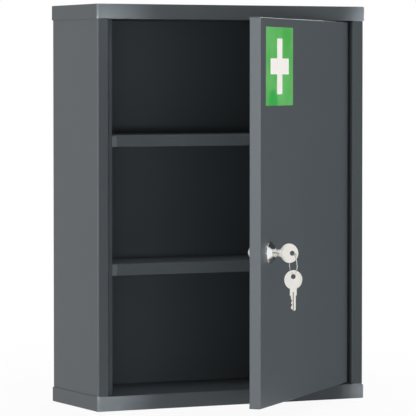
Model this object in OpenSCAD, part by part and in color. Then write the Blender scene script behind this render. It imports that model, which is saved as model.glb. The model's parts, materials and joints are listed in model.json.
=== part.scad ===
// Lockable wall cabinet for medicines: folded sheet steel, two shelves, a flush pan door
// on two hidden pivot pins, and a cam lock with two keys.
// Millimetres. +Z is up, the front faces -Y, and the origin is the centre of the underside.
// The door is drawn closed and then swung open about its pivots to its resting angle.

/* [Overall] */
// Width over the end caps
overall_w = 343; // [300:1:420]
// Depth over the end caps
overall_d = 129; // [115:1:180]
// Height over the end caps
overall_h = 460; // [440:1:600]

/* [Sheet metal] */
// Thickness of the sheet in every panel
sheet_t = 0.8; // [0.6:0.1:1]
// Outside radius of the folds in the two side panels
side_bend_r = 2; // [1.4:0.1:2.4]
// Outside radius of the folds in caps, trays, shelves and door
bend_r = 1.2; // [1.1:0.1:1.6]

/* [End caps] */
// Height of the skirt round each end cap
cap_h = 16.8; // [15:0.1:24]
// Clearance between a cap's skirt and the side and front of the body
cap_gap = 0.1; // [0.05:0.05:0.5]
// Height of the folded edges of the floor and ceiling trays
tray_flange_h = 12; // [6:0.5:13]

/* [Front frame] */
// Width of the front lip beside the door
lip_w = 14.6; // [12:0.1:20]
// Width of the stop behind the free edge of the door
stop_w = 9.4; // [7:0.1:11]
// Clearance between the closed door and its stop
stop_gap = 0.3; // [0.2:0.1:1]
// Depth of the return behind the lip on the hinge side
hinge_return_d = 5; // [4.2:0.1:5.4]
// Width of the folds at the rear that carry the back panel
rear_flange_w = 12.6; // [10:0.1:18]

/* [Back panel] */
// Distance between the wall fixing holes, left to right
wall_hole_dx = 240; // [180:1:260]
// Height of the lower wall fixing holes
wall_hole_low_z = 60; // [40:1:100]
// Height of the upper wall fixing holes
wall_hole_high_z = 400; // [370:1:420]
// Diameter of the wall fixing holes
wall_hole_d = 6; // [4:0.1:8]
// Rivets on each side of the back panel in each of the three compartments
rivets_a_bay = 2; // [1:1:3]
// Diameter of a rivet's shank
rivet_d = 3.2; // [2.4:0.1:4]
// Diameter of a rivet's head
rivet_head_d = 6.4; // [5:0.1:8]
// Diameter of a rivet's set tail
rivet_tail_d = 4.8; // [4.2:0.1:6]
// Height of a rivet's head
rivet_head_h = 1; // [0.6:0.1:1.5]

/* [Shelves] */
// Height of the top of the lower shelf
shelf_low_z = 164.8; // [150:0.1:180]
// Height of the top of the upper shelf
shelf_high_z = 311.5; // [290:0.1:330]
// Height of a shelf's front edge
shelf_lip_h = 13.2; // [11:0.1:18]
// Height of the folded edges at the sides and rear of a shelf
shelf_flange_h = 10; // [8:0.1:11]
// Distance from the front of the body to the front of a shelf
shelf_setback = 26; // [24:0.1:34]
// Width of the front of a shelf, which passes between the door stops
shelf_front_w = 282; // [240:1:286]
// Corner radius at the front of a shelf
shelf_corner_r = 7; // [3:0.1:10]
// Depth of the narrow front of a shelf
shelf_notch_d = 18; // [12:0.1:30]

/* [Door] */
// Depth of the door pan
door_t = 13; // [12:0.1:13.5]
// Gap beside the free edge of the door
door_gap_free = 1.5; // [1:0.1:2.5]
// Gap beside the hinged edge of the door
door_gap_hinge = 2.1; // [1.9:0.1:3]
// Width of the folds at the rear of the door's upright edges
door_return_w = 8; // [6:0.1:9]
// Angle at which the door stands open
door_open = 43.5; // [0:0.5:90]

/* [Pivots] */
// Distance from the pivot axis to the hinged edge of the door
pivot_inset = 11; // [10.5:0.1:12]
// Diameter of the pivot pins
pin_d = 4; // [3:0.1:4.2]
// Diameter of a pin's head
pin_head_d = 7; // [6:0.1:8]
// Thickness of a pin's head
pin_head_t = 1.2; // [0.8:0.1:2]
// Length of pin inside its bush
pin_in_bush = 5; // [4:0.1:6]
// Radial clearance between pin and bush
pin_clearance = 0.05; // [0.03:0.01:0.1]
// Thickness of the bush's collar, which carries the door
bush_collar_t = 1.2; // [1:0.1:1.6]
// Diameter of the bush's collar
bush_collar_d = 9; // [8:0.1:9.6]
// Diameter of the bush's sleeve
bush_sleeve_d = 6; // [5.4:0.1:7]
// Length of the bush's sleeve inside the door
bush_sleeve_h = 4.5; // [3:0.1:6]
// Play above the upper bush
door_play = 0.1; // [0.05:0.05:0.5]

/* [Lock] */
// Height of the lock above the underside
lock_z = 186.5; // [182:0.1:280]
// Distance from the lock's axis to the free edge of the door
lock_inset = 27.2; // [27:0.1:34]
// Diameter of the lock's head
head_d = 24.4; // [23:0.1:26]
// Height of the lock's head in front of the door
head_h = 6.4; // [4:0.1:7]
// Height of the straight edge of the head
head_edge_h = 2.1; // [0.5:0.1:3]
// Diameter of the flat at the front of the head
head_face_d = 15; // [14.4:0.1:18]
// Width that is broken off each side of the head's edges
head_chamfer = 0.3; // [0.1:0.1:0.6]
// Diameter of the lock's threaded barrel
barrel_d = 18; // [17:0.1:19]
// Width across the flats of the barrel
barrel_flat_w = 16; // [15:0.1:17]
// Length of the barrel behind the door's face
barrel_l = 15.1; // [14.6:0.1:18]
// Clearance round the barrel in the door
barrel_clearance = 0.1; // [0.05:0.05:0.3]
// Thickness of the washer behind the door
washer_t = 0.8; // [0.5:0.1:1.5]
// Outside diameter of the washer behind the door
washer_d = 23; // [21:0.1:25]
// Width across the flats of the nut on the barrel
nut_w = 22; // [21:0.1:24]
// Thickness of the nut on the barrel
nut_t = 3.5; // [2.5:0.1:5]

/* [Plug and cam] */
// Diameter of the plug that turns in the lock
plug_d = 10; // [9:0.1:11]
// Diameter of the flange at the front of the plug
plug_flange_d = 12.5; // [12:0.1:13.5]
// Thickness of the flange at the front of the plug
plug_flange_t = 1.6; // [1:0.1:2.5]
// Depth of the plug's face below the front of the head
plug_sink = 0.3; // [0.1:0.1:0.8]
// Running clearance round the plug and in front of the cam
plug_clearance = 0.05; // [0.03:0.01:0.1]
// Width of the square that drives the cam
drive_w = 7; // [5:0.1:7]
// Thickness of the cam
cam_t = 2; // [1.5:0.1:2.5]
// Width of the cam
cam_w = 12; // [10:0.1:14]
// Diameter of the cam round its hole
cam_hub_d = 15; // [14.5:0.1:18]
// Reach of the cam from the lock's axis
cam_reach = 25.5; // [23:0.1:27]
// Clearance round the drive square in the cam
drive_clearance = 0.05; // [0.03:0.01:0.1]
// Diameter of the thread at the tail
tail_d = 6; // [5:0.1:6.4]
// Length of thread that stands out of the tail nut
tail_end_h = 1.1; // [0.5:0.1:2]
// Width across the flats of the tail nut
tail_nut_w = 10; // [9:0.1:11]
// Thickness of the tail nut
tail_nut_t = 4; // [3:0.1:5]
// Thickness of the tail washer
tail_washer_t = 0.8; // [0.5:0.1:1.2]
// Diameter of the tail washer
tail_washer_d = 12; // [11:0.1:13]

/* [Keys] */
// Thickness of a key
key_t = 1.8; // [1.6:0.1:2.2]
// Diameter of a key's bow
bow_d = 21.1; // [19:0.1:24]
// Distance from a key's shoulder to the centre of its bow
bow_x = 17.3; // [15:0.1:20]
// Diameter of the hole in a key's bow
bow_hole_d = 5.3; // [4:0.1:5.6]
// Distance from the centre of the bow to its hole
bow_hole_x = 3.5; // [0:0.1:5]
// Width of a key between bow and shoulder
neck_w = 8.1; // [7.5:0.1:10]
// Width of a key's blade
blade_w = 5.9; // [5:0.1:6.2]
// Length of a key's blade
blade_l = 16.3; // [14:0.1:18]
// Width of the groove along a key's blade
groove_w = 1.2; // [0.8:0.1:1.6]
// Depth of the groove along a key's blade
groove_depth = 0.4; // [0.2:0.1:0.6]
// Clearance round the blade in the keyway
keyway_clearance = 0.1; // [0.05:0.01:0.2]
// Depths of the cuts along the blade, from the shoulder
key_cuts = [0.4, 1.6, 0.5, 1.7, 0.4]; // [0:0.1:2]
// Distance between two cuts
cut_pitch = 2.2; // [2:0.1:2.8]
// Width of the flat at the bottom of a cut
cut_flat = 0.5; // [0.3:0.1:0.8]
// Diameter of the wire of the key ring
ring_wire_d = 1.3; // [1:0.1:1.6]
// Diameter of the key ring at the middle of its wire
ring_d = 22.8; // [22:0.1:30]
// Clearance between the ring's wire and a key's hole
ring_clearance = 0.15; // [0.05:0.01:0.2]
// Angle below level from the middle of the key's hole to the ring's wire
ring_rest_angle = 40; // [0:1:90]
// Angle about the vertical between the ring's wire and the axis of the key's hole
ring_turn = 40; // [0:1:42]

/* [Hidden] */
body_w = overall_w - 2 * (sheet_t + cap_gap);
body_d = overall_d - 2 * (sheet_t + cap_gap);
side_x = body_w / 2;
side_in_x = side_x - sheet_t;
front_y = -body_d / 2;
front_in_y = front_y + sheet_t;
rear_y = body_d / 2;
back_y = rear_y - sheet_t;
back_in_y = back_y - sheet_t;
floor_z = cap_h;
ceiling_z = overall_h - cap_h;
body_h = overall_h - 2 * sheet_t;
tray_d = back_in_y - front_in_y;
tray_y = (back_in_y + front_in_y) / 2;
back_w = body_w - 2 * side_bend_r;

lip_x = side_x - lip_w;
stop_d = door_t + stop_gap;
shelf_front_y = front_y + shelf_setback;
shelf_notch_y = shelf_front_y + shelf_notch_d;

door_free_x = -lip_x + door_gap_free;
door_hinge_x = lip_x - door_gap_hinge;
door_w = door_hinge_x - door_free_x;
door_low_z = floor_z + bush_collar_t;
door_high_z = ceiling_z - bush_collar_t - door_play;
door_h = door_high_z - door_low_z;
pivot_x = door_hinge_x - pivot_inset;
pivot_y = front_y + door_t / 2;

rivet_x = side_x - rear_flange_w / 2;
bays = [
    [floor_z, shelf_low_z - shelf_lip_h],
    [shelf_low_z, shelf_high_z - shelf_lip_h],
    [shelf_high_z, ceiling_z]
];
rivet_zs = [for (bay = bays) for (i = [0.5 : rivets_a_bay - 0.5])
    bay[0] + (bay[1] - bay[0]) * i / rivets_a_bay];

lock_x = door_free_x + lock_inset;
counterbore_d = plug_flange_d + 2 * plug_clearance;
counterbore_h = plug_flange_t + plug_sink + plug_clearance;
cam_front_z = -barrel_l - plug_clearance;
cam_rear_z = cam_front_z - cam_t;
tail_nut_z = cam_rear_z - tail_washer_t;
tail_z = tail_nut_z - tail_nut_t - tail_end_h;

plug_face_z = head_h - plug_sink;
shoulder_z = plug_face_z + keyway_clearance;
key_hole_z = shoulder_z + bow_x + bow_hole_x;
ring_slant = key_t / 2 * tan(ring_turn);
hole_slack = (bow_hole_d - ring_wire_d / cos(ring_turn)) / 2 - ring_clearance;
hang_r = sqrt(pow(hole_slack, 2) - pow(ring_slant * sin(ring_rest_angle), 2))
    - ring_slant * cos(ring_rest_angle);
ring_z = key_hole_z + hang_r * cos(ring_rest_angle);
ring_top_y = -hang_r * sin(ring_rest_angle);
ring_low_y = ring_top_y - ring_d;
spare_hole_y = ring_low_y - (bow_hole_d - ring_wire_d) / 2 + ring_clearance;
cut_first_x = 3.2;

eps = 0.01;
$fn = 64;

steel = [0.29, 0.31, 0.33];
chrome = [0.82, 0.83, 0.84];
zinc = [0.72, 0.73, 0.72];
nickel = [0.88, 0.87, 0.84];
nylon = [0.12, 0.12, 0.13];

// ---- Folded sheet ----

// Section of a folded strip that starts at the origin and runs along +X. Each leg is
// [length, turn]: the length is taken along the face on the right of the path, and the
// turn at its end is 1 for left, -1 for right and 0 for the last leg.
module folded(legs, r, i = 0, taken = 0) {
    length = legs[i][0];
    turn = legs[i][1];
    inner_r = r - sheet_t;
    setback = turn > 0 ? r : turn < 0 ? inner_r : 0;
    straight = length - taken - setback;
    square([straight, sheet_t]);
    if (turn > 0)
        translate([straight, r]) {
            rotate(-90) quarter_ring(inner_r, r);
            translate([r, 0]) rotate(90) folded(legs, r, i + 1, setback);
        }
    if (turn < 0)
        translate([straight, -inner_r]) {
            quarter_ring(inner_r, r);
            translate([inner_r, 0]) rotate(-90) folded(legs, r, i + 1, setback);
        }
}

// A quarter of a ring in the first quadrant
module quarter_ring(inner_r, outer_r) {
    intersection() {
        difference() {
            circle(r = outer_r);
            circle(r = inner_r);
        }
        square(outer_r);
    }
}

// Section of a pan's edge: flat plate from the corner's centre, fold, then skirt down to zero
module pan_edge(h, corner_r) {
    if (corner_r > bend_r)
        translate([0, h - sheet_t]) square([corner_r - bend_r, sheet_t]);
    translate([corner_r - bend_r, h - bend_r]) quarter_ring(bend_r - sheet_t, bend_r);
    translate([corner_r - sheet_t, 0]) square([sheet_t, h - bend_r]);
}

// One straight side of a pan, along +X, with its skirt on the -Y side
module pan_side(length, h, corner_r) {
    rotate([90, 0, 90]) mirror([1, 0, 0]) linear_extrude(length) pan_edge(h, corner_r);
}

// A pan of w by d and height h with its plate on top. A closed pan has welded corners;
// an open one has a square relief at each corner.
module pan(w, d, h, corner_r, closed = true) {
    in_w = w - 2 * corner_r;
    in_d = d - 2 * corner_r;
    translate([-in_w / 2, -in_d / 2, h - sheet_t]) cube([in_w, in_d, sheet_t]);
    for (side = [[0, in_w, in_d], [90, in_d, in_w], [180, in_w, in_d], [270, in_d, in_w]])
        rotate(side[0]) translate([-side[1] / 2, -side[2] / 2, 0]) pan_side(side[1], h, corner_r);
    if (closed)
        for (corner = [[1, 1, 0], [-1, 1, 90], [-1, -1, 180], [1, -1, 270]])
            translate([corner[0] * in_w / 2, corner[1] * in_d / 2, 0]) rotate(corner[2])
                rotate_extrude(angle = 90) pan_edge(h, corner_r);
}

// ---- Cabinet ----

module end_cap() {
    pan(overall_w, overall_d, cap_h, bend_r);
}

module top_cap() {
    color(steel) translate([0, 0, ceiling_z]) end_cap();
}

module bottom_cap() {
    color(steel) translate([0, 0, cap_h]) mirror([0, 0, 1]) end_cap();
}

// Tray that closes the body behind the cap's skirt and carries a pivot pin
module pivot_tray() {
    difference() {
        translate([0, tray_y, 0])
            pan(2 * side_in_x, tray_d, tray_flange_h, bend_r, closed = false);
        translate([pivot_x, pivot_y, tray_flange_h - sheet_t - eps])
            cylinder(d = pin_d, h = sheet_t + 2 * eps);
    }
}

module floor_tray() {
    color(steel) translate([0, 0, floor_z - tray_flange_h]) pivot_tray();
}

module ceiling_tray() {
    color(steel) translate([0, 0, ceiling_z + tray_flange_h]) mirror([0, 0, 1]) pivot_tray();
}

// Section of a side panel from the rear fold to the front lip, drawn for the left side
module side_section(front_legs) {
    translate([-side_x + rear_flange_w, rear_y]) rotate(180)
        folded(concat([[rear_flange_w, 1], [body_d, 1]], front_legs), side_bend_r);
}

// Area from the end of the lip's flat inward, which holds what is folded back from the lip
module behind_door() {
    translate([-lip_x - side_bend_r, front_y - eps]) square([side_bend_r + stop_w + eps, body_d / 2]);
}

// A side panel: the lip runs behind the cap's skirts, and what is folded back from the
// lip stands between the floor and the ceiling
module side_panel(front_legs) {
    translate([0, 0, sheet_t]) linear_extrude(body_h) difference() {
        side_section(front_legs);
        behind_door();
    }
    translate([0, 0, floor_z]) linear_extrude(ceiling_z - floor_z) intersection() {
        side_section(front_legs);
        behind_door();
    }
}

module rivet_holes() {
    for (side = [-1, 1])
        for (z = rivet_zs)
            translate([side * rivet_x, back_in_y - eps, z]) rotate([-90, 0, 0])
                cylinder(d = rivet_d, h = 2 * sheet_t + 2 * eps);
}

module left_side_panel() {
    color(steel) difference() {
        side_panel([[lip_w, 1], [stop_d, -1], [stop_w, 0]]);
        rivet_holes();
    }
}

module right_side_panel() {
    color(steel) difference() {
        mirror([1, 0, 0]) side_panel([[lip_w, 1], [hinge_return_d, 0]]);
        rivet_holes();
    }
}

module back_panel() {
    color(steel) difference() {
        translate([-back_w / 2, back_in_y, sheet_t]) cube([back_w, sheet_t, body_h]);
        rivet_holes();
        for (x = [-1, 1])
            for (z = [wall_hole_low_z, wall_hole_high_z])
                translate([x * wall_hole_dx / 2, back_in_y - eps, z]) rotate([-90, 0, 0])
                    cylinder(d = wall_hole_d, h = sheet_t + 2 * eps);
    }
}

// Section of a low domed head of the given diameter and height
module dome_section(d, h) {
    dome_r = (d * d / 4 + h * h) / (2 * h);
    intersection() {
        translate([0, h - dome_r]) circle(r = dome_r);
        square([d / 2, h]);
    }
}

// Blind rivets: a domed head at the rear, a shank, and a set tail inside
module back_rivets() {
    color(zinc)
        for (side = [-1, 1])
            for (z = rivet_zs)
                translate([side * rivet_x, 0, z]) rotate([-90, 0, 0]) {
                    translate([0, 0, back_in_y]) cylinder(d = rivet_d, h = 2 * sheet_t);
                    translate([0, 0, rear_y]) rotate_extrude() dome_section(rivet_head_d, rivet_head_h);
                    translate([0, 0, back_in_y]) mirror([0, 0, 1])
                        rotate_extrude() dome_section(rivet_tail_d, rivet_head_h);
                }
}

// A shelf: wide behind the door stops and narrow in front, where its corners are rounded
module shelf() {
    rear_d = back_in_y - shelf_notch_y;
    front_in_w = shelf_front_w - 2 * shelf_corner_r;
    plate_z = shelf_lip_h - sheet_t;
    flange_z = shelf_lip_h - shelf_flange_h;
    side_l = rear_d - bend_r;
    // Plate of the narrow front, its lip and its rounded corners
    translate([-front_in_w / 2, shelf_front_y + shelf_corner_r, plate_z])
        cube([front_in_w, shelf_notch_d - shelf_corner_r, sheet_t]);
    translate([-front_in_w / 2, shelf_front_y + shelf_corner_r, 0])
        pan_side(front_in_w, shelf_lip_h, shelf_corner_r);
    for (side = [0, 1])
        mirror([side, 0, 0]) translate([front_in_w / 2, shelf_front_y + shelf_corner_r, 0]) {
            rotate(270) rotate_extrude(angle = 90) pan_edge(shelf_lip_h, shelf_corner_r);
            rotate(90) pan_side(shelf_notch_d - shelf_corner_r, shelf_lip_h, shelf_corner_r);
        }
    // Plate of the wide rear and the edges that are welded to the sides and the back
    translate([-side_in_x + bend_r, shelf_notch_y, plate_z])
        cube([2 * (side_in_x - bend_r), rear_d - bend_r, sheet_t]);
    translate([-side_in_x + bend_r, back_in_y - bend_r, flange_z]) mirror([0, 1, 0])
        pan_side(2 * (side_in_x - bend_r), shelf_flange_h, bend_r);
    for (side = [0, 1])
        mirror([side, 0, 0]) translate([side_in_x - bend_r, shelf_notch_y, flange_z])
            rotate(90) pan_side(side_l, shelf_flange_h, bend_r);
}

module upper_shelf() {
    color(steel) translate([0, 0, shelf_high_z - shelf_lip_h]) shelf();
}

module lower_shelf() {
    color(steel) translate([0, 0, shelf_low_z - shelf_lip_h]) shelf();
}

// ---- Pivots ----

// A pin that points up from its tray: head, shank and a chamfered end
module pivot_pin() {
    shank = sheet_t + bush_collar_t + pin_in_bush;
    chamfer = 0.5;
    rotate_extrude() polygon([
        [0, -pin_head_t], [pin_head_d / 2, -pin_head_t], [pin_head_d / 2, 0], [pin_d / 2, 0],
        [pin_d / 2, shank - chamfer], [pin_d / 2 - chamfer, shank], [0, shank]
    ]);
}

module lower_pivot_pin() {
    color(zinc) translate([pivot_x, pivot_y, floor_z - sheet_t]) pivot_pin();
}

module upper_pivot_pin() {
    color(zinc) translate([pivot_x, pivot_y, ceiling_z + sheet_t]) mirror([0, 0, 1]) pivot_pin();
}

// A bush for the lower edge of the door: collar under the edge, sleeve inside the door
module pivot_bush() {
    difference() {
        union() {
            cylinder(d = bush_collar_d, h = bush_collar_t);
            cylinder(d = bush_sleeve_d, h = bush_collar_t + sheet_t + bush_sleeve_h);
        }
        translate([0, 0, -eps])
            cylinder(d = pin_d + 2 * pin_clearance, h = bush_collar_t + sheet_t + bush_sleeve_h + 2 * eps);
    }
}

// ---- Door ----

// Swings what is drawn closed to the resting angle
module at_door() {
    translate([pivot_x, pivot_y, 0]) rotate(door_open) translate([-pivot_x, -pivot_y, 0]) children();
}

module lower_pivot_bush() {
    color(nylon) at_door() translate([pivot_x, pivot_y, floor_z]) pivot_bush();
}

module upper_pivot_bush() {
    color(nylon) at_door() translate([pivot_x, pivot_y, door_high_z + bush_collar_t])
        mirror([0, 0, 1]) pivot_bush();
}

// The door pan, closed: face on -Y, edges towards +Y
module door_pan() {
    return_z = 2 * bend_r;
    difference() {
        translate([(door_free_x + door_hinge_x) / 2, front_y + door_t, (door_low_z + door_high_z) / 2])
            rotate([90, 0, 0]) pan(door_w, door_h, door_t, bend_r);
        // The upright edges give way to the folds at their rear
        for (x = [door_free_x, door_hinge_x - sheet_t])
            translate([x - eps, front_y + door_t - bend_r, door_low_z + return_z])
                cube([sheet_t + 2 * eps, bend_r + eps, door_h - 2 * return_z]);
        for (z = [door_low_z - eps, door_high_z - sheet_t - eps])
            translate([pivot_x, pivot_y, z]) cylinder(d = bush_sleeve_d, h = sheet_t + 2 * eps);
        translate([lock_x, front_y, lock_z]) rotate([90, 0, 0]) translate([0, 0, -sheet_t - eps])
            barrel_form(sheet_t + 2 * eps, barrel_clearance);
    }
    for (side = [[door_free_x, 0], [door_hinge_x, 1]])
        translate([side[0], front_y + door_t - bend_r, door_low_z + return_z]) mirror([side[1], 0, 0])
            linear_extrude(door_h - 2 * return_z) rear_fold();
}

// Fold of radius bend_r from an upright edge into a return, from the origin inward to +X
module rear_fold() {
    translate([bend_r, 0]) rotate(90) quarter_ring(bend_r - sheet_t, bend_r);
    translate([bend_r, bend_r - sheet_t]) square([door_return_w - bend_r, sheet_t]);
}

module door_panel() {
    color(steel) at_door() door_pan();
}

// ---- Lock ----

// Places what is drawn on the lock's axis: +Z leaves the door's face and +Y is up
module at_lock() {
    at_door() translate([lock_x, front_y, lock_z]) rotate([90, 0, 0]) children();
}

// The barrel with its two flats, h long, larger all round by the clearance
module barrel_form(h, clearance = 0) {
    linear_extrude(h) intersection() {
        circle(d = barrel_d + 2 * clearance);
        square([barrel_flat_w + 2 * clearance, barrel_d + 2 * clearance + 1], center = true);
    }
}

// Section of the head: a straight edge on the door, a cone and a flat face, edges broken
module head_section() {
    edge_r = head_d / 2;
    face_r = head_face_d / 2;
    slope = atan2(head_h - head_edge_h, edge_r - face_r);
    down_cone = head_chamfer * [cos(slope), -sin(slope)];
    polygon([
        [0, 0], [edge_r, 0], [edge_r, head_edge_h - head_chamfer],
        [edge_r, head_edge_h] - down_cone, [face_r, head_h] + down_cone,
        [face_r - head_chamfer, head_h], [0, head_h]
    ]);
}

module lock_housing() {
    bore_d = plug_d + 2 * plug_clearance;
    color(chrome) at_lock() difference() {
        union() {
            rotate_extrude() head_section();
            translate([0, 0, -barrel_l]) barrel_form(barrel_l);
        }
        translate([0, 0, -barrel_l - eps]) cylinder(d = bore_d, h = barrel_l + head_h + 2 * eps);
        translate([0, 0, head_h - counterbore_h]) cylinder(d = counterbore_d, h = counterbore_h + eps);
    }
}

// A hexagonal nut with chamfered corners, from zero up
module nut(w, t, hole_d) {
    corner_r = w / sqrt(3);
    chamfer = (corner_r - w / 2) * tan(30);
    difference() {
        intersection() {
            rotate(30) cylinder(r = corner_r, h = t, $fn = 6);
            rotate_extrude() polygon([
                [0, 0], [w / 2, 0], [corner_r + eps, chamfer],
                [corner_r + eps, t - chamfer], [w / 2, t], [0, t]
            ]);
        }
        translate([0, 0, -eps]) cylinder(d = hole_d, h = t + 2 * eps);
    }
}

module washer(d, t, hole_d) {
    difference() {
        cylinder(d = d, h = t);
        translate([0, 0, -eps]) cylinder(d = hole_d, h = t + 2 * eps);
    }
}

module lock_washer() {
    color(zinc) at_lock() translate([0, 0, -sheet_t - washer_t]) washer(washer_d, washer_t, barrel_d);
}

module lock_nut() {
    color(zinc) at_lock() translate([0, 0, -sheet_t - washer_t - nut_t]) nut(nut_w, nut_t, barrel_d);
}

module lock_plug() {
    keyway_w = key_t + 2 * keyway_clearance;
    keyway_h = blade_w + 2 * keyway_clearance;
    keyway_l = blade_l + 2 * keyway_clearance;
    color(chrome) at_lock() {
        difference() {
            union() {
                translate([0, 0, cam_front_z]) cylinder(d = plug_d, h = plug_face_z - cam_front_z);
                translate([0, 0, plug_face_z - plug_flange_t]) cylinder(d = plug_flange_d, h = plug_flange_t);
            }
            translate([-keyway_w / 2, -keyway_h / 2, shoulder_z - blade_l - keyway_clearance])
                cube([keyway_w, keyway_h, keyway_l]);
        }
        translate([-drive_w / 2, -drive_w / 2, cam_rear_z]) cube([drive_w, drive_w, cam_t]);
        translate([0, 0, tail_z]) cylinder(d = tail_d, h = cam_rear_z - tail_z);
    }
}

// The cam points up while the lock is open
module lock_cam() {
    hole_w = drive_w + 2 * drive_clearance;
    color(zinc) at_lock() translate([0, 0, cam_rear_z]) linear_extrude(cam_t) difference() {
        union() {
            circle(d = cam_hub_d);
            intersection() {
                translate([-cam_w / 2, 0]) square([cam_w, cam_reach]);
                circle(r = cam_reach);
            }
        }
        square(hole_w, center = true);
    }
}

module cam_washer() {
    color(zinc) at_lock() translate([0, 0, tail_nut_z]) washer(tail_washer_d, tail_washer_t, tail_d);
}

module cam_nut() {
    color(zinc) at_lock() translate([0, 0, tail_nut_z - tail_nut_t]) nut(tail_nut_w, tail_nut_t, tail_d);
}

// ---- Keys ----

// Outline of the blade: shoulder at zero, tip at -X, cuts along +Y
module blade_outline() {
    half = blade_w / 2;
    ramp = half;
    chamfer = 1;
    difference() {
        polygon([
            [0, -half], [0, half], [-blade_l + ramp, half],
            [-blade_l, half - ramp], [-blade_l, -half + chamfer], [-blade_l + chamfer, -half]
        ]);
        for (i = [0 : len(key_cuts) - 1])
            translate([-cut_first_x - i * cut_pitch, half]) polygon([
                [-cut_flat / 2 - key_cuts[i], eps], [-cut_flat / 2, -key_cuts[i]],
                [cut_flat / 2, -key_cuts[i]], [cut_flat / 2 + key_cuts[i], eps]
            ]);
    }
}

// A flat key in the XY plane, centred on its thickness: bow at +X, blade at -X
module flat_key() {
    groove_l = blade_l + neck_w / 2;
    difference() {
        translate([0, 0, -key_t / 2]) linear_extrude(key_t) difference() {
            union() {
                blade_outline();
                translate([0, -neck_w / 2]) square([bow_x, neck_w]);
                translate([bow_x, 0]) circle(d = bow_d);
            }
            translate([bow_x + bow_hole_x, 0]) circle(d = bow_hole_d);
        }
        for (face = [0, 1])
            mirror([0, 0, face])
                translate([-blade_l - eps, -groove_w / 2, key_t / 2 - groove_depth])
                    cube([groove_l, groove_w, groove_depth + eps]);
    }
}

// The key stands in the lock with its flat sides upright
module key() {
    color(nickel) at_lock() translate([0, 0, shoulder_z]) rotate([0, -90, 0]) flat_key();
}

module key_ring() {
    color(nickel) at_lock() translate([0, ring_top_y - ring_d / 2, ring_z])
        rotate([0, ring_turn, 0]) rotate_extrude() translate([ring_d / 2, 0]) circle(d = ring_wire_d);
}

// The spare key hangs square to the ring's wire, blade down and cuts towards the door
module spare_key() {
    color(nickel) at_lock() translate([0, spare_hole_y, ring_z]) rotate([0, ring_turn - 90, 0])
        rotate(90) translate([-bow_x - bow_hole_x, 0, 0]) flat_key();
}

top_cap();
bottom_cap();
ceiling_tray();
floor_tray();
left_side_panel();
right_side_panel();
back_panel();
back_rivets();
upper_shelf();
lower_shelf();
upper_pivot_pin();
lower_pivot_pin();
door_panel();
upper_pivot_bush();
lower_pivot_bush();
lock_housing();
lock_washer();
lock_nut();
lock_plug();
lock_cam();
cam_washer();
cam_nut();
key();
key_ring();
spare_key();
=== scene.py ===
"""Looks of a lockable wall cabinet for medicines: camera, light, finishes and fine pieces.

Metres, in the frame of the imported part: +Z is up, the front faces -Y and the origin is the
centre of the underside. Sizes in millimetres are written as a number times MM.
"""
import json
import math

import bmesh
import bpy
from mathutils import Matrix, Vector


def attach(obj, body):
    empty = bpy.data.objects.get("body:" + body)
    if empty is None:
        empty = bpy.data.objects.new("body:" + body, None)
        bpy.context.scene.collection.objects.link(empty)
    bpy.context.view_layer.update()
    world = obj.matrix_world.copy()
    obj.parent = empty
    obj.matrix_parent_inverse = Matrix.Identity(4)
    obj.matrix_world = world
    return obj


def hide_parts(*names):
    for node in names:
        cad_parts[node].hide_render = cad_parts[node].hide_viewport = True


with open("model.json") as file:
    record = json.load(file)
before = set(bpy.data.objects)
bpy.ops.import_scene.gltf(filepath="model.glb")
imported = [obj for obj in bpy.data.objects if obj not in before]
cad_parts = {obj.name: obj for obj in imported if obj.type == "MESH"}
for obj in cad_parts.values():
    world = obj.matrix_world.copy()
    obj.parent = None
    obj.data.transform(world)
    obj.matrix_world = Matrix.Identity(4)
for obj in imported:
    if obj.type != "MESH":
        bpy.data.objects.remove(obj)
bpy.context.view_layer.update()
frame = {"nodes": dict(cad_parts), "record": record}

MM = 0.001
nodes = frame["nodes"]

# ---- Sizes shared with the part's source ----

DOOR_OPEN = math.radians(43.5)
PIVOT = Vector((142.9, -57.1, 0)) * MM
DOOR_FREE_X = -154.5 * MM
FRONT_Y = -63.6 * MM
FOLD_X = 170.6 * MM
FOLD_R = 2 * MM
LOCK_X = -127.3 * MM
LOCK_Z = 186.5 * MM

BARREL_D = 18 * MM
BARREL_FLAT_W = 16 * MM
BARREL_L = 15.1 * MM
NUT_REAR = 5.1 * MM
BORE_D = 10.1 * MM
COUNTERBORE_D = 12.6 * MM
COUNTERBORE_H = 1.95 * MM
HEAD_D = 24.4 * MM
HEAD_H = 6.4 * MM
HEAD_EDGE_H = 2.1 * MM
HEAD_FACE_D = 15 * MM

KEY_T = 1.8 * MM
KEY_SHOULDER_Z = 6.2 * MM
BOW_X = 17.3 * MM
BOW_HOLE_X = 3.5 * MM
GROOVE_W = 1.2 * MM
SPARE_HOLE_Y = -25.29 * MM
RING_Z = 27.77 * MM
RING_TURN = math.radians(40)

# Places what is drawn on the closed door's front, with the front facing -Y
AT_DOOR = (Matrix.Translation(PIVOT) @ Matrix.Rotation(DOOR_OPEN, 4, "Z")
           @ Matrix.Translation(-PIVOT))
# Places what is drawn on the lock's axis: +Z leaves the door's face and +Y is up
AT_LOCK = (AT_DOOR @ Matrix.Translation((LOCK_X, FRONT_Y, LOCK_Z))
           @ Matrix.Rotation(math.radians(90), 4, "X"))
# Places what is drawn on a flat key: its shoulder at the origin, bow at +X and blade at -X
AT_KEY = (AT_LOCK @ Matrix.Translation((0, 0, KEY_SHOULDER_Z))
          @ Matrix.Rotation(math.radians(-90), 4, "Y"))
AT_SPARE = (AT_LOCK @ Matrix.Translation((0, SPARE_HOLE_Y, RING_Z))
            @ Matrix.Rotation(RING_TURN - math.radians(90), 4, "Y")
            @ Matrix.Rotation(math.radians(90), 4, "Z")
            @ Matrix.Translation((-BOW_X - BOW_HOLE_X, 0, 0)))

# ---- Camera ----

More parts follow.
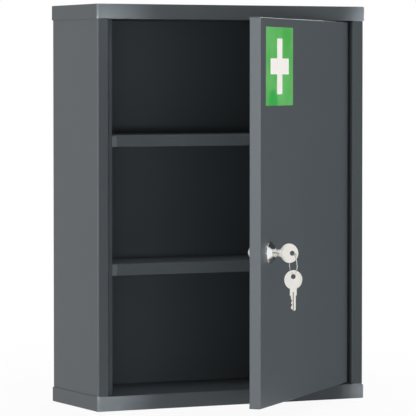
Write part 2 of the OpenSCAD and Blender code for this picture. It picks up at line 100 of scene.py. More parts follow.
CAMERA_PLACE = (-1.5294, -3.1185, 0.3745)
CAMERA_YAW = math.radians(26.11)
CAMERA_PITCH = math.radians(2.47)
CAMERA_FOCAL_PX = 2973.3
IMAGE_PX = 416


def make_camera():
    data = bpy.data.cameras.new("camera")
    data.sensor_width = 36
    data.lens = CAMERA_FOCAL_PX / IMAGE_PX * data.sensor_width
    data.clip_end = 50
    camera = bpy.data.objects.new("camera", data)
    bpy.context.scene.collection.objects.link(camera)
    camera.location = CAMERA_PLACE
    camera.rotation_euler = (math.radians(90) - CAMERA_PITCH, 0, -CAMERA_YAW)
    bpy.context.scene.camera = camera


# ---- Node trees ----

def add(tree, kind, inputs=None, **settings):
    """Adds a node, sets its settings and its inputs. An input is a value or another socket."""
    node = tree.nodes.new(kind)
    for name, value in settings.items():
        setattr(node, name, value)
    for name, value in (inputs or {}).items():
        socket = node.inputs[name]
        if isinstance(value, bpy.types.NodeSocket):
            tree.links.new(value, socket)
        else:
            socket.default_value = value
    return node


def math_node(tree, operation, a, b=0.0, clamp=False):
    return add(tree, "ShaderNodeMath", {0: a, 1: b}, operation=operation,
               use_clamp=clamp).outputs[0]


def mix_value(tree, factor, a, b):
    """A plain mix of two values: a where factor is 0 and b where it is 1."""
    node = add(tree, "ShaderNodeMapRange", {"Value": factor, "To Min": a, "To Max": b})
    return node.outputs[0]


def mix_colour(tree, factor, a, b, blend="MIX"):
    node = add(tree, "ShaderNodeMix", data_type="RGBA", blend_type=blend)
    for socket, value in ((0, factor), (6, a), (7, b)):
        if isinstance(value, bpy.types.NodeSocket):
            tree.links.new(value, node.inputs[socket])
        else:
            node.inputs[socket].default_value = value
    return node.outputs[2]


def new_group(name, inputs, outputs):
    """A shader node group. Sockets are {name: default}; the default's form sets the kind."""
    group = bpy.data.node_groups.new(name, "ShaderNodeTree")
    for sockets, way in ((inputs, "INPUT"), (outputs, "OUTPUT")):
        for label, default in sockets.items():
            kind = "NodeSocketColor" if isinstance(default, tuple) else "NodeSocketFloat"
            socket = group.interface.new_socket(name=label, in_out=way, socket_type=kind)
            if way == "INPUT":
                socket.default_value = default
    return group, group.nodes.new("NodeGroupInput"), group.nodes.new("NodeGroupOutput")


def new_material(name):
    material = bpy.data.materials.new(name)
    material.use_nodes = True
    tree = material.node_tree
    principled = tree.nodes["Principled BSDF"]
    return material, tree, principled


def srgb(red, green, blue):
    """A colour written in 0-255 display values, as linear RGBA."""
    def linear(value):
        value /= 255
        return value / 12.92 if value <= 0.04045 else ((value + 0.055) / 1.055) ** 2.4
    return (linear(red), linear(green), linear(blue), 1.0)


# ---- Shared effects ----

def make_coat_group():
    """Powder coat: orange-peel grain, a slow drift of tone, and a drift of gloss."""
    group, source, sink = new_group(
        "powder_coat",
        {"Colour": (0.1, 0.1, 0.1, 1.0), "Tone Drift": 0.06, "Grain Size": 0.0009,
         "Roughness": 0.4, "Gloss Drift": 0.06},
        {"Colour": (0, 0, 0, 1), "Roughness": 0.0, "Height": 0.0})
    place = group.nodes.new("ShaderNodeTexCoord").outputs["Object"]
    scale = math_node(group, "DIVIDE", 1.0, source.outputs["Grain Size"])
    grain = add(group, "ShaderNodeTexNoise",
                {"Vector": place, "Scale": scale, "Detail": 2.0, "Roughness": 0.55})
    drift = add(group, "ShaderNodeTexNoise",
                {"Vector": place, "Scale": 7.0, "Detail": 3.0, "Roughness": 0.5})
    centred = math_node(group, "SUBTRACT", drift.outputs[0], 0.5)
    tone = math_node(group, "MULTIPLY_ADD", centred, source.outputs["Tone Drift"])
    group.nodes[-1].inputs[2].default_value = 1.0
    toned = add(group, "ShaderNodeVectorMath", {0: source.outputs["Colour"]},
                operation="SCALE")
    group.links.new(tone, toned.inputs["Scale"])
    gloss = math_node(group, "MULTIPLY_ADD", centred, source.outputs["Gloss Drift"])
    group.links.new(source.outputs["Roughness"], group.nodes[-1].inputs[2])
    group.links.new(toned.outputs[0], sink.inputs["Colour"])
    group.links.new(gloss, sink.inputs["Roughness"])
    group.links.new(grain.outputs[0], sink.inputs["Height"])
    return group


def make_wear_group():
    """Bare metal: fine scratches, a cloudy tarnish and a drift of roughness."""
    group, source, sink = new_group(
        "handled_metal",
        {"Colour": (0.8, 0.8, 0.8, 1.0), "Tarnish": (0.5, 0.5, 0.5, 1.0), "Tarnish Amount": 0.3,
         "Cloud Size": 0.004, "Roughness": 0.25, "Roughness Drift": 0.1, "Scratch Size": 0.0006},
        {"Colour": (0, 0, 0, 1), "Roughness": 0.0, "Height": 0.0})
    place = group.nodes.new("ShaderNodeTexCoord").outputs["Object"]
    cloud_scale = math_node(group, "DIVIDE", 1.0, source.outputs["Cloud Size"])
    cloud = add(group, "ShaderNodeTexNoise",
                {"Vector": place, "Scale": cloud_scale, "Detail": 4.0, "Roughness": 0.6})
    amount = math_node(group, "MULTIPLY", cloud.outputs[0], source.outputs["Tarnish Amount"])
    colour = mix_colour(group, amount, source.outputs["Colour"], source.outputs["Tarnish"])
    scratch_scale = math_node(group, "DIVIDE", 1.0, source.outputs["Scratch Size"])
    stretched = add(group, "ShaderNodeMapping", {"Vector": place, "Scale": (1.0, 1.0, 0.12)})
    scratch = add(group, "ShaderNodeTexNoise",
                  {"Vector": stretched.outputs[0], "Scale": scratch_scale, "Detail": 3.0,
                   "Roughness": 0.7})
    centred = math_node(group, "SUBTRACT", cloud.outputs[0], 0.5)
    rough = math_node(group, "MULTIPLY_ADD", centred, source.outputs["Roughness Drift"])
    group.links.new(source.outputs["Roughness"], group.nodes[-1].inputs[2])
    group.links.new(colour, sink.inputs["Colour"])
    group.links.new(rough, sink.inputs["Roughness"])
    group.links.new(scratch.outputs[0], sink.inputs["Height"])
    return group


def make_painted_fold_highlight():
    """A painted highlight: the paint is paler along each upright fold at the front of the body."""
    group, source, sink = new_group("fold_highlight_painted", {"Colour": (0.1, 0.1, 0.1, 1.0), "Gain": 1.3},
                                    {"Colour": (0, 0, 0, 1)})
    place = group.nodes.new("ShaderNodeTexCoord").outputs["Object"]
    axes = add(group, "ShaderNodeSeparateXYZ", {0: place}).outputs
    side = math_node(group, "SUBTRACT", FOLD_X, math_node(group, "ABSOLUTE", axes[0]))
    front = math_node(group, "SUBTRACT", axes[1], FRONT_Y)
    across = math_node(group, "MULTIPLY", side, side)
    depth = math_node(group, "MULTIPLY", front, front)
    reach = math_node(group, "SQRT", math_node(group, "ADD", across, depth))
    near = add(group, "ShaderNodeMapRange", {"Value": reach, "From Min": FOLD_R / 2,
                                             "From Max": FOLD_R, "To Min": 1.0, "To Max": 0.0})
    gain = mix_value(group, near.outputs[0], 1.0, source.outputs["Gain"])
    paler = add(group, "ShaderNodeVectorMath", {0: source.outputs["Colour"]}, operation="SCALE")
    group.links.new(gain, paler.inputs["Scale"])
    group.links.new(paler.outputs[0], sink.inputs["Colour"])
    return group


def use_group(tree, principled, group, values, bump_distance, bump_strength=1.0):
    """Places an effect in a material and feeds it to the Principled shader."""
    effect = add(tree, "ShaderNodeGroup", node_tree=group)
    for name, value in values.items():
        effect.inputs[name].default_value = value
    tree.links.new(effect.outputs["Colour"], principled.inputs["Base Color"])
    tree.links.new(effect.outputs["Roughness"], principled.inputs["Roughness"])
    bump = add(tree, "ShaderNodeBump", {"Height": effect.outputs["Height"],
                                        "Strength": bump_strength, "Distance": bump_distance})
    tree.links.new(bump.outputs[0], principled.inputs["Normal"])
    return effect


# ---- Finishes ----

def make_enclosure_paint(coat_group, fold_highlight_tree):
    material, tree, principled = new_material("enclosure_paint")
    coat_effect = use_group(tree, principled, coat_group,
                            {"Colour": srgb(78, 84, 88), "Tone Drift": 0.10,
                             "Grain Size": 0.0011, "Roughness": 0.45, "Gloss Drift": 0.08},
                            0.00003)
    # Painted highlight: the paint is made paler along the upright front folds
    fold_highlight_node = add(tree, "ShaderNodeGroup", {"Colour": coat_effect.outputs["Colour"],
                                                "Gain": 1.5}, node_tree=fold_highlight_tree)
    tree.links.new(fold_highlight_node.outputs["Colour"], principled.inputs["Base Color"])
    principled.inputs["Specular IOR Level"].default_value = 0.3
    return material


def make_metal(name, group, colour, tarnish, values, bump_distance):
    material, tree, principled = new_material(name)
    use_group(tree, principled, group,
              {"Colour": colour, "Tarnish": tarnish, **values}, bump_distance)
    principled.inputs["Metallic"].default_value = 1.0
    return material


def make_key_nickel(group):
    """Tumbled nickel plate, with painted shade that darkens the groove."""
    material, tree, principled = new_material("key_nickel")
    effect = use_group(tree, principled, group,
                       {"Colour": (0.84, 0.82, 0.78, 1), "Tarnish": (0.66, 0.63, 0.56, 1),
                        "Tarnish Amount": 0.25, "Roughness": 0.26, "Roughness Drift": 0.1},
                       0.000008)
    # Painted shade: the groove's faces are mixed towards a dark brown
    painted_groove_shade = add(tree, "ShaderNodeAttribute", attribute_name="painted_groove_shade")
    colour = mix_colour(tree, painted_groove_shade.outputs["Fac"], effect.outputs["Colour"],
                        (0.36, 0.32, 0.27, 1.0))
    tree.links.new(colour, principled.inputs["Base Color"])
    principled.inputs["Metallic"].default_value = 1.0
    return material


def make_bush_nylon(group):
    material, tree, principled = new_material("bush_nylon")
    use_group(tree, principled, group,
              {"Colour": srgb(32, 32, 34), "Tone Drift": 0.2, "Grain Size": 0.0005,
               "Roughness": 0.55, "Gloss Drift": 0.1}, 0.00001)
    return material


SHADE_FROM_EDGE = 40 * MM
SHADE_Z = 349 * MM
SHADE_CORE = 12 * MM
SHADE_REACH = 18 * MM


def make_sign_green(name, dark, light):
    """Green vinyl film: a slow drift between two greens, deeper in one low corner."""
    material, tree, principled = new_material(name)
    place = tree.nodes.new("ShaderNodeTexCoord").outputs["Object"]
    cloud = add(tree, "ShaderNodeTexNoise",
                {"Vector": place, "Scale": 26.0, "Detail": 2.0, "Roughness": 0.4})
    ramp = add(tree, "ShaderNodeValToRGB", {"Fac": cloud.outputs[0]})
    stops = ramp.color_ramp.elements
    stops[0].position, stops[0].color = 0.35, dark
    stops[1].position, stops[1].color = 0.65, light
    corner = AT_DOOR @ Vector((DOOR_FREE_X + SHADE_FROM_EDGE, FRONT_Y, SHADE_Z))
    distance = add(tree, "ShaderNodeVectorMath", {0: place, 1: tuple(corner)},
                   operation="DISTANCE")
    deep = add(tree, "ShaderNodeMapRange",
               {"Value": distance.outputs["Value"], "From Min": SHADE_CORE,
                "From Max": SHADE_REACH, "To Min": 1.0, "To Max": 0.0})
    colour = mix_colour(tree, deep.outputs[0], ramp.outputs[0], srgb(60, 176, 80))
    tree.links.new(colour, principled.inputs["Base Color"])
    principled.inputs["Roughness"].default_value = 0.35
    return material


def make_sign_white():
    material, tree, principled = new_material("sign_white")
    place = tree.nodes.new("ShaderNodeTexCoord").outputs["Object"]
    cloud = add(tree, "ShaderNodeTexNoise",
                {"Vector": place, "Scale": 90.0, "Detail": 2.0, "Roughness": 0.5})
    colour = mix_colour(tree, cloud.outputs[0], srgb(252, 245, 242), srgb(255, 251, 247))
    tree.links.new(colour, principled.inputs["Base Color"])
    principled.inputs["Roughness"].default_value = 0.4
    return material


# ---- Pieces ----

def finish_piece(mesh, name, body, materials):
    piece = bpy.data.objects.new(name, mesh)
    bpy.context.scene.collection.objects.link(piece)
    for material in materials:
        mesh.materials.append(material)
    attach(piece, body)
    return piece


def add_prism(shape, outline, low, high, edge=0.0, material=0):
    """Adds a closed prism over a counter-clockwise outline in XY, with its top edge softened."""
    rings = [[shape.verts.new((x, y, z)) for x, y in outline] for z in (low, high)]
    faces = [shape.faces.new(rings[0][::-1]), shape.faces.new(rings[1])]
    for i in range(len(outline)):
        j = (i + 1) % len(outline)
        faces.append(shape.faces.new((rings[0][i], rings[0][j], rings[1][j], rings[1][i])))
    for face in faces:
        face.material_index = material
    if edge:
        bmesh.ops.bevel(shape, geom=list(faces[1].edges), offset=edge, segments=2,
                        affect="EDGES", profile=0.5)


def rounded_rectangle(low_x, low_y, high_x, high_y, radius, steps=6):
    points = []
    left, right = low_x + radius, high_x - radius
    bottom, top = low_y + radius, high_y - radius
    for x, y, start in ((right, top, 0), (left, top, 90), (left, bottom, 180), (right, bottom, 270)):
        for i in range(steps + 1):
            turn = math.radians(start + 90 * i / steps)
            points.append((x + radius * math.cos(turn), y + radius * math.sin(turn)))
    return points


def add_revolved(shape, section, steps=96):
    """Adds a closed ring: a counter-clockwise section of [radius, height] turned about Z."""
    rings = []
    for i in range(steps):
        turn = 2 * math.pi * i / steps
        rings.append([shape.verts.new((r * math.cos(turn), r * math.sin(turn), z))
                      for r, z in section])
    faces = []
    for i in range(steps):
        near, far = rings[i], rings[(i + 1) % steps]
        for k in range(len(section)):
            j = (k + 1) % len(section)
            faces.append(shape.faces.new((near[k], far[k], far[j], near[j])))
    return faces


def rounded_corner(before, corner, after, radius, steps=5):
    """Points of an arc that rounds a corner of a section."""
    before, corner, after = Vector(before), Vector(corner), Vector(after)
    to_before, to_after = (before - corner).normalized(), (after - corner).normalized()
    half = to_before.angle(to_after) / 2
    middle = corner + (to_before + to_after).normalized() * (radius / math.sin(half))
    start = (corner + to_before * (radius / math.tan(half)) - middle).normalized()
    end = (corner + to_after * (radius / math.tan(half)) - middle).normalized()
    return [tuple(middle + start.slerp(end, i / steps) * radius) for i in range(steps + 1)]


MERGE_WITHIN = 0.002 * MM
FLAT_WITHIN = math.radians(1)


def bare_copy(name, place):
    """A merged copy of a CAD node's mesh, drawn in the frame of the given place."""
    shape = bmesh.new()
    shape.from_mesh(nodes[name].data)
    shape.transform(place.inverted())
    bmesh.ops.remove_doubles(shape, verts=shape.verts, dist=MERGE_WITHIN)
    bmesh.ops.dissolve_limit(shape, angle_limit=FLAT_WITHIN, verts=shape.verts,
                             edges=shape.edges)
    return shape


def finished_mesh(shape, name, place, smooth_below):
    """Ends a piece: back to its place, outward faces, smooth up to the given angle."""
    bmesh.ops.recalc_face_normals(shape, faces=shape.faces)
    mesh = bpy.data.meshes.new(name)
    shape.to_mesh(mesh)
    shape.free()
    mesh.transform(place)
    mesh.shade_smooth()
    mesh.set_sharp_from_angle(angle=math.radians(smooth_below))
    return mesh


KEY_EDGE = 0.18 * MM
KEY_SHARP = math.radians(30)
COIN_RIM = (7.7 * MM, 8.5 * MM)
COIN_RIM_H = 0.06 * MM
COIN_RIM_SLOPE = 0.2 * MM


def make_flat_key(name, node, place, body, nickel):
    """A stamped key: tumbled edges, a coined rim on each side of the bow, painted shade in the
    groove.
    """
    shape = bare_copy(node, place)
    edges = [edge for edge in shape.edges
             if len(edge.link_faces) == 2 and edge.calc_face_angle() > KEY_SHARP]
    bmesh.ops.bevel(shape, geom=edges, offset=KEY_EDGE, segments=2, affect="EDGES", profile=0.5,
                    clamp_overlap=True)
    low, high = COIN_RIM
    face = KEY_T / 2
    at_bow = Matrix.Translation((BOW_X, 0, 0))
    for side in (1, -1):
        section = [(low, face - COIN_RIM_H), (high, face - COIN_RIM_H), (high, face),
                   (high - COIN_RIM_SLOPE, face + COIN_RIM_H),
                   (low + COIN_RIM_SLOPE, face + COIN_RIM_H), (low, face)]
        ring = add_revolved(shape, section)
        verts = list({vert for quad in ring for vert in quad.verts})
        bmesh.ops.transform(shape, verts=verts, matrix=at_bow @ Matrix.Diagonal((1, 1, side, 1)))
    # Marks the groove's deep faces, which get the painted shade
    painted_groove_shade = shape.verts.layers.float.new("painted_groove_shade")
    for vert in shape.verts:
        in_line = abs(vert.co.y) < GROOVE_W / 2 + KEY_EDGE and vert.co.x < BOW_X / 2
        is_deep = abs(vert.co.z) < face - KEY_EDGE / 2
        vert[painted_groove_shade] = 1.0 if in_line and is_deep else 0.0
    mesh = finished_mesh(shape, name, place, 40)
    piece = finish_piece(mesh, name, body, [nickel])
    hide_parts(node)
    return piece


# ---- Coils ----

COIL_RESOLUTION = 96


def make_coil_tree(name, sizes, draw_section):
    """Geometry nodes that sweep a section along a coil about Z. Sizes are named inputs."""
    tree = bpy.data.node_groups.new(name, "GeometryNodeTree")
    for label, default in {"Radius": 0.01, "Turns": 2.0, "Pitch": 0.001, **sizes}.items():
        socket = tree.interface.new_socket(name=label, in_out="INPUT",
                                           socket_type="NodeSocketFloat")
        socket.default_value = default
    tree.interface.new_socket(name="Material", in_out="INPUT", socket_type="NodeSocketMaterial")
    tree.interface.new_socket(name="Geometry", in_out="OUTPUT",
                              socket_type="NodeSocketGeometry")
    given = tree.nodes.new("NodeGroupInput").outputs
    result = tree.nodes.new("NodeGroupOutput")
    rise = math_node(tree, "MULTIPLY", given["Turns"], given["Pitch"])
    coil = add(tree, "GeometryNodeCurveSpiral",
               {"Resolution": COIL_RESOLUTION, "Rotations": given["Turns"],
                "Start Radius": given["Radius"], "End Radius": given["Radius"], "Height": rise})
    upright = add(tree, "GeometryNodeSetCurveNormal", {"Curve": coil.outputs[0]}, mode="Z_UP")
    swept = add(tree, "GeometryNodeCurveToMesh",
                {"Curve": upright.outputs[0], "Profile Curve": draw_section(tree, given),
                 "Fill Caps": True})
    real = add(tree, "GeometryNodeRealizeInstances", {"Geometry": swept.outputs[0]})
    coated = add(tree, "GeometryNodeSetMaterial",
                 {"Geometry": real.outputs[0], "Material": given["Material"]})
    tree.links.new(coated.outputs[0], result.inputs["Geometry"])
    return tree


def draw_strip(tree, given):
    strip = add(tree, "GeometryNodeCurvePrimitiveQuadrilateral",
                {"Width": given["Strip Width"], "Height": given["Strip Thickness"]},
                mode="RECTANGLE")
    soft = add(tree, "GeometryNodeFilletCurve",
               {"Curve": strip.outputs[0], "Radius": given["Corner"], "Count": 3}, mode="POLY")
    return soft.outputs[0]


def draw_thread(tree, given):
    """A square on its corner: its outer half is the thread and its inner half is buried."""
    corners = add(tree, "GeometryNodeCurvePrimitiveCircle",
                  {"Resolution": 4, "Radius": given["Depth"]}, mode="RADIUS")
    return corners.outputs[0]


def coil_mesh(tree, values, material):
    """Runs a coil's nodes once and gives back a plain mesh."""
    holder = bpy.data.objects.new("coil_holder", bpy.data.meshes.new("coil_holder"))
    bpy.context.scene.collection.objects.link(holder)
    modifier = holder.modifiers.new("coil", "NODES")
    modifier.node_group = tree
    sockets = {item.name: item.identifier for item in tree.interface.items_tree
               if item.in_out == "INPUT"}
    for label, value in {**values, "Material": material}.items():
        modifier[sockets[label]] = value
    bpy.context.view_layer.update()
    seen = holder.evaluated_get(bpy.context.evaluated_depsgraph_get())
    mesh = bpy.data.meshes.new_from_object(seen)
    holder.modifiers.clear()
    bpy.data.objects.remove(holder)
    return mesh


RING_STRIP_W = 1.18 * MM
RING_STRIP_T = 0.42 * MM
RING_PITCH = 0.43 * MM
RING_TURNS = 2.0
RING_CORNER = 0.12 * MM


def make_split_ring(nickel):
    """A split ring: two turns of flat strip, through the holes of both keys."""
    joints = {joint["name"]: joint for joint in frame["record"]["behaviour"]["joints"]}
    top = Vector(joints["ring_swing"]["pos_m"])
    low = Vector(joints["spare_key_swing"]["pos_m"])
    wire_way = Vector(joints["spare_key_swing"]["axis"]).normalized()
    up = (top - low).normalized()
    axes = Matrix((wire_way, up, wire_way.cross(up))).transposed().to_4x4()
    tree = make_coil_tree("split_ring_coil", {"Strip Width": 0.001, "Strip Thickness": 0.0005,
                                              "Corner": 0.0001}, draw_strip)
    mesh = coil_mesh(tree, {"Radius": (top - low).length / 2, "Turns": RING_TURNS,
                            "Pitch": RING_PITCH, "Strip Width": RING_STRIP_W,
                            "Strip Thickness": RING_STRIP_T, "Corner": RING_CORNER}, nickel)
    mesh.transform(Matrix.Translation((top + low) / 2) @ axes
                   @ Matrix.Translation((0, 0, -RING_TURNS * RING_PITCH / 2)))
    mesh.shade_smooth()
    mesh.set_sharp_from_angle(angle=math.radians(35))
    piece = finish_piece(mesh, "split_ring", "key_ring", [])
    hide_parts("key_ring")
    return piece


THREAD_PITCH = 1 * MM
THREAD_DEPTH = 0.48 * MM
UNDER_FLAT = 0.02 * MM
HEAD_SIDE_R = 0.5 * MM
HEAD_FACE_R = 0.6 * MM
HEAD_STEPS = 128


def cut_flats(verts, reach, barrel_r):
    """Presses what lies within the barrel's radius back to two flats, square to X."""
    for vert in verts:
        on_barrel = vert.co.z < HEAD_EDGE_H / 2 and vert.co.xy.length < barrel_r
        if on_barrel and abs(vert.co.x) > reach:
            vert.co.x = math.copysign(reach, vert.co.x)


def make_lock_body(chrome):
    """The lock's housing: a head with rounded edges on a threaded barrel with two flats."""
    face, edge = (HEAD_FACE_D / 2, HEAD_H), (HEAD_D / 2, HEAD_EDGE_H)
    core = BARREL_D / 2 - THREAD_DEPTH
    step = HEAD_H - COUNTERBORE_H
    section = [(BORE_D / 2, -BARREL_L), (core, -BARREL_L), (core, 0), (HEAD_D / 2, 0)]
    section += rounded_corner((HEAD_D / 2, 0), edge, face, HEAD_SIDE_R)
    section += rounded_corner(edge, face, (0, HEAD_H), HEAD_FACE_R)
    section += [(COUNTERBORE_D / 2, HEAD_H), (COUNTERBORE_D / 2, step), (BORE_D / 2, step)]
    shape = bmesh.new()
    add_revolved(shape, section, HEAD_STEPS)
    tree = make_coil_tree("barrel_thread", {"Depth": 0.0005}, draw_thread)
    length = BARREL_L - NUT_REAR
    thread = coil_mesh(tree, {"Radius": core, "Turns": length / THREAD_PITCH,
                              "Pitch": THREAD_PITCH, "Depth": THREAD_DEPTH}, chrome)
    thread.transform(Matrix.Translation((0, 0, -BARREL_L + THREAD_DEPTH)))
    flat = BARREL_FLAT_W / 2
    cut_flats(shape.verts, flat, core + MM)
    first = len(shape.verts)
    shape.from_mesh(thread)
    shape.verts.ensure_lookup_table()
    cut_flats(shape.verts[first:], flat - UNDER_FLAT, core + MM)
    mesh = finished_mesh(shape, "lock_body", AT_LOCK, 35)
    piece = finish_piece(mesh, "lock_body", "door", [chrome])
    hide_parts("lock_housing")
    return piece


SIGN_FROM_EDGE = 17 * MM
SIGN_WIDTH = 90 * MM
SIGN_LOW_Z = 346.2 * MM
SIGN_HIGH_Z = 432 * MM
CROSS_FROM_EDGE = 62 * MM
CROSS_Z = 389.1 * MM
CROSS_REACH = 30.5 * MM
CROSS_HALF_ARM = 8.7 * MM
FILM = 0.2 * MM
PRINT = 0.03 * MM
BORDER_SIDE = 2.4 * MM
BORDER_END = 0.9 * MM
FILM_CORNER = 0.8 * MM
FILM_EDGE = 0.05 * MM
PRINT_CORNER = 0.5 * MM


def make_sign(border, white, green):
    """A film label with a plain cross, laid on the front of the door."""
    shape = bmesh.new()
    left = DOOR_FREE_X + SIGN_FROM_EDGE
    right = left + SIGN_WIDTH
    add_prism(shape, rounded_rectangle(left, SIGN_LOW_Z, right, SIGN_HIGH_Z, FILM_CORNER),
              0, FILM, FILM_EDGE)
    add_prism(shape, rounded_rectangle(left + BORDER_SIDE, SIGN_LOW_Z + BORDER_END,
                                       right - BORDER_SIDE, SIGN_HIGH_Z - BORDER_END,
                                       PRINT_CORNER),
              FILM / 2, FILM + PRINT, material=2)
    x, z, far, near = DOOR_FREE_X + CROSS_FROM_EDGE, CROSS_Z, CROSS_REACH, CROSS_HALF_ARM
    cross = [(far, -near), (far, near), (near, near), (near, far),
             (-near, far), (-near, near), (-far, near), (-far, -near),
             (-near, -near), (-near, -far), (near, -far), (near, -near)]
    add_prism(shape, [(x + dx, z + dz) for dx, dz in cross], FILM / 2, FILM + 2 * PRINT,
              material=1)
    mesh = bpy.data.meshes.new("sign")
    shape.to_mesh(mesh)
    shape.free()
    mesh.transform(AT_DOOR @ Matrix.Translation((0, FRONT_Y, 0))
                   @ Matrix.Rotation(math.radians(90), 4, "X"))
    return finish_piece(mesh, "sign", "door", [border, white, green])


# ---- Light and stage ----

FLOOR_RADIUS = 4.0
FLOOR_WHITE = (0.9, 0.9, 0.9, 1)
FLOOR_NEAR = 0.15
FLOOR_FAR = 0.9
FLOOR_NEAR_GLOW = 0.93
AMBIENT = 0.15
DARK_SIDE = (40.0, 150.0)
DARK_SIDE_TOP = 46.0
DARK_SIDE_EDGE = 12.0
DARK_SIDE_SHARE = 0.95


def add_room_rays(tree, place, viewpoint=(0.0, 0.0, 0.0)):
    """Two values for the stage: 1 where the camera, metal or glass sees it and 0 for the light
    it gives, then its white. Metal sees the right-hand wall of the room dark."""
    rays = tree.nodes.new("ShaderNodeLightPath").outputs
    seen = math_node(tree, "MAXIMUM", rays["Is Camera Ray"], rays["Is Glossy Ray"])
    seen = math_node(tree, "MAXIMUM", seen, rays["Is Transmission Ray"])
    away = add(tree, "ShaderNodeVectorMath", {0: place, 1: viewpoint}, operation="SUBTRACT")
    axes = add(tree, "ShaderNodeSeparateXYZ", {0: away.outputs[0]}).outputs
    front = math_node(tree, "MULTIPLY", axes[1], -1.0)
    azimuth = math_node(tree, "DEGREES", math_node(tree, "ARCTAN2", axes[0], front))
    length = add(tree, "ShaderNodeVectorMath", {0: away.outputs[0]}, operation="LENGTH")
    slope = math_node(tree, "DIVIDE", axes[2], length.outputs["Value"])
    elevation = math_node(tree, "DEGREES", math_node(tree, "ARCSINE", slope))
    height = math_node(tree, "ABSOLUTE", elevation)
    level = add(tree, "ShaderNodeMapRange", {"Value": height, "From Min": DARK_SIDE_TOP,
                                             "From Max": DARK_SIDE_TOP + DARK_SIDE_EDGE,
                                             "To Min": 1.0, "To Max": 0.0})
    low, high = DARK_SIDE
    rise = add(tree, "ShaderNodeMapRange", {"Value": azimuth, "From Min": low,
                                            "From Max": low + DARK_SIDE_EDGE})
    fall = add(tree, "ShaderNodeMapRange", {"Value": azimuth, "From Min": high,
                                            "From Max": high + DARK_SIDE_EDGE,
                                            "To Min": 1.0, "To Max": 0.0})
    dark = math_node(tree, "MULTIPLY", rise.outputs[0], fall.outputs[0])
    dark = math_node(tree, "MULTIPLY", dark, level.outputs[0])
    dark = math_node(tree, "MULTIPLY", dark, rays["Is Glossy Ray"])
    white = math_node(tree, "SUBTRACT", 1.0, math_node(tree, "MULTIPLY", dark, DARK_SIDE_SHARE))
    return seen, white


def make_world():
    """An even pale room: the camera sees plain white, and metal sees white with a dark side."""
    world = bpy.data.worlds.new("studio")
    bpy.context.scene.world = world
    world.use_nodes = True
    tree = world.node_tree
    background = tree.nodes["Background"]
    direction = tree.nodes.new("ShaderNodeTexCoord").outputs["Generated"]
    seen, white = add_room_rays(tree, direction)
    strength = mix_value(tree, seen, AMBIENT, white)
    tree.links.new(strength, background.inputs["Strength"])
    background.inputs["Color"].default_value = (1, 1, 1, 1)


def make_floor():
    """A white floor that keeps a faint shadow near the cabinet."""
    mesh = bpy.data.meshes.new("floor")
    shape = bmesh.new()
    bmesh.ops.create_circle(shape, cap_ends=True, radius=FLOOR_RADIUS, segments=96)
    shape.to_mesh(mesh)
    shape.free()
    floor = bpy.data.objects.new("floor", mesh)
    bpy.context.scene.collection.objects.link(floor)
    material, tree, principled = new_material("floor_white")
    principled.inputs["Base Color"].default_value = FLOOR_WHITE
    principled.inputs["Roughness"].default_value = 0.9
    place = tree.nodes.new("ShaderNodeTexCoord").outputs["Object"]
    seen, white = add_room_rays(tree, place, tuple(AT_LOCK.translation))
    glow = add(tree, "ShaderNodeEmission", {"Color": (1, 1, 1, 1), "Strength": white})
    distance = add(tree, "ShaderNodeVectorMath", {0: place}, operation="LENGTH")
    share = add(tree, "ShaderNodeMapRange",
                {"Value": distance.outputs["Value"], "From Min": FLOOR_NEAR,
                 "From Max": FLOOR_FAR, "To Min": FLOOR_NEAR_GLOW, "To Max": 1.0})
    factor = math_node(tree, "MULTIPLY", seen, share.outputs[0])
    mixed = tree.nodes.new("ShaderNodeMixShader")
    tree.links.new(factor, mixed.inputs[0])
    tree.links.new(principled.outputs[0], mixed.inputs[1])
    tree.links.new(glow.outputs[0], mixed.inputs[2])
    tree.links.new(mixed.outputs[0], tree.nodes["Material Output"].inputs["Surface"])
    mesh.materials.append(material)
    return floor


LAMP_AIM = Vector((0, 0, 0.23))
STRIP_AWAY = 0.5
STRIP_W = 0.02
STRIP_H = 0.7
STRIP_Z = 0.11


def add_lamp(name, azimuth, elevation, distance, width, height, power, spread=180):
    """A soft box that faces the middle of the cabinet. Azimuth 0 is in front, -90 on the left."""
    data = bpy.data.lights.new(name, "AREA")
    data.shape = "RECTANGLE"
    data.size, data.size_y = width, height
    data.energy = power
    data.spread = math.radians(spread)
    lamp = bpy.data.objects.new(name, data)
    bpy.context.scene.collection.objects.link(lamp)
    turn, lift = math.radians(azimuth), math.radians(elevation)
    away = Vector((math.sin(turn) * math.cos(lift), -math.cos(turn) * math.cos(lift),
                   math.sin(lift)))
    lamp.location = LAMP_AIM + away * distance
    lamp.rotation_euler = (-away).to_track_quat("-Z", "Y").to_euler()
    return lamp


def lit_group(name, pieces):
    """The pieces that a lamp lights, as flags in a studio would keep it to them."""
    group = bpy.data.collections.new(name)
    for piece in pieces:
        group.objects.link(piece)
    return group


def add_strip_light(name, x, spread, power):
    """A tall narrow light straight in front of the cabinet, for one end of its caps."""
    lamp = add_lamp(name, 0, 0, STRIP_AWAY, STRIP_W, STRIP_H, power, spread)
    lamp.location.x = x
    lamp.location.z = STRIP_Z
    lamp.rotation_euler = (math.radians(90), 0, 0)
    return lamp


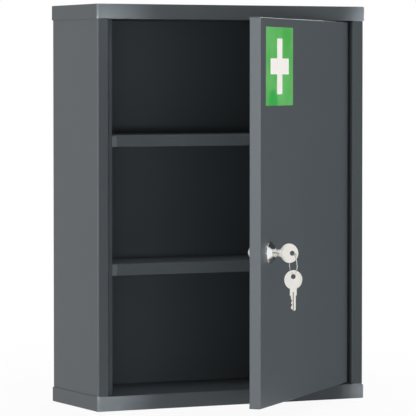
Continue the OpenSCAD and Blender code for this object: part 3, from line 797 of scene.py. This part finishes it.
def make_lamps(floor, sign):
    """Soft boxes for what is painted. Bare metal is lit by the pale room that it mirrors.

    A lamp's numbers are its azimuth, elevation, distance, width, height and power.
    """
    slots = {part["node"]: part["material_slot"] for part in frame["record"]["subparts"]}
    painted = [nodes[name] for name, slot in slots.items()
               if slot in ("enclosure_paint", "bush_nylon")]
    body = lit_group("body_light", painted + [floor, sign])
    # The left soft box leaves this panel out, so that the gap beside the door stays dark
    hinge_side = nodes["right_side_panel"]
    away_from_hinge = lit_group("left_light", [piece for piece in painted + [floor, sign]
                                               if piece != hinge_side])
    door = lit_group("door_light", [nodes["door_panel"], sign])
    caps = lit_group("cap_light", [nodes["top_cap"], nodes["bottom_cap"]])
    shelves = lit_group("shelf_light", [nodes["upper_shelf"], nodes["lower_shelf"]])
    for lamp, group in (
            (add_lamp("left_softbox", -75, 5, 3.0, 1.0, 2.0, 38), away_from_hinge),
            (add_lamp("right_softbox", 60, 5, 3.0, 1.0, 2.0, 12), body),
            (add_lamp("top_softbox", -20, 60, 3.0, 1.5, 1.5, 27), body),
            (add_lamp("floor_bounce", -20, -3, 3.0, 1.5, 0.3, 22), body),
            (add_lamp("rear_softbox", 145, 15, 3.0, 1.5, 2.0, 65), body),
            (add_lamp("door_front_light", 2, 5, 3.0, 1.0, 2.0, 65), door),
            (add_lamp("door_edge_light", -67, -4, 3.0, 0.5, 2.0, 29), door),
            (add_strip_light("left_end_light", -0.162, 18, 0.31), caps),
            (add_strip_light("right_end_light", 0.19, 12, 0.42), caps)):
        lamp.light_linking.receiver_collection = group
        lamp.light_linking.blocker_collection = body
    lamp = add_lamp("shelf_light", -72, 0, 3.0, 0.5, 2.0, 34)
    lamp.light_linking.receiver_collection = shelves
    lamp.light_linking.blocker_collection = shelves


make_camera()
make_world()
floor = make_floor()
coat = make_coat_group()
wear = make_wear_group()
# A painted highlight along the upright front folds of the body
fold_highlight_paint = make_painted_fold_highlight()
finishes = {
    "enclosure_paint": make_enclosure_paint(coat, fold_highlight_paint),
    "lock_chrome": make_metal("lock_chrome", wear, (0.86, 0.87, 0.88, 1), (0.6, 0.6, 0.6, 1),
                              {"Tarnish Amount": 0.15, "Roughness": 0.1,
                               "Roughness Drift": 0.05}, 0.000004),
    "zinc": make_metal("zinc", wear, (0.62, 0.63, 0.64, 1), (0.38, 0.38, 0.36, 1),
                       {"Tarnish Amount": 0.6, "Cloud Size": 0.003, "Roughness": 0.38,
                        "Roughness Drift": 0.15}, 0.00001),
    "key_nickel": make_key_nickel(wear),
    "bush_nylon": make_bush_nylon(coat),
}
for part in frame["record"]["subparts"]:
    mesh = nodes[part["node"]].data
    mesh.materials.clear()
    mesh.materials.append(finishes[part["material_slot"]])

sign = make_sign(make_sign_green("sign_border", srgb(104, 172, 100), srgb(116, 190, 112)),
                 make_sign_white(),
                 make_sign_green("sign_green", srgb(80, 180, 82), srgb(106, 194, 108)))
make_flat_key("cut_key", "key", AT_KEY, "key", finishes["key_nickel"])
make_flat_key("cut_spare_key", "spare_key", AT_SPARE, "spare_key", finishes["key_nickel"])
make_split_ring(finishes["key_nickel"])
make_lock_body(finishes["lock_chrome"])

make_lamps(floor, sign)
bpy.context.scene.view_settings.view_transform = "Standard"
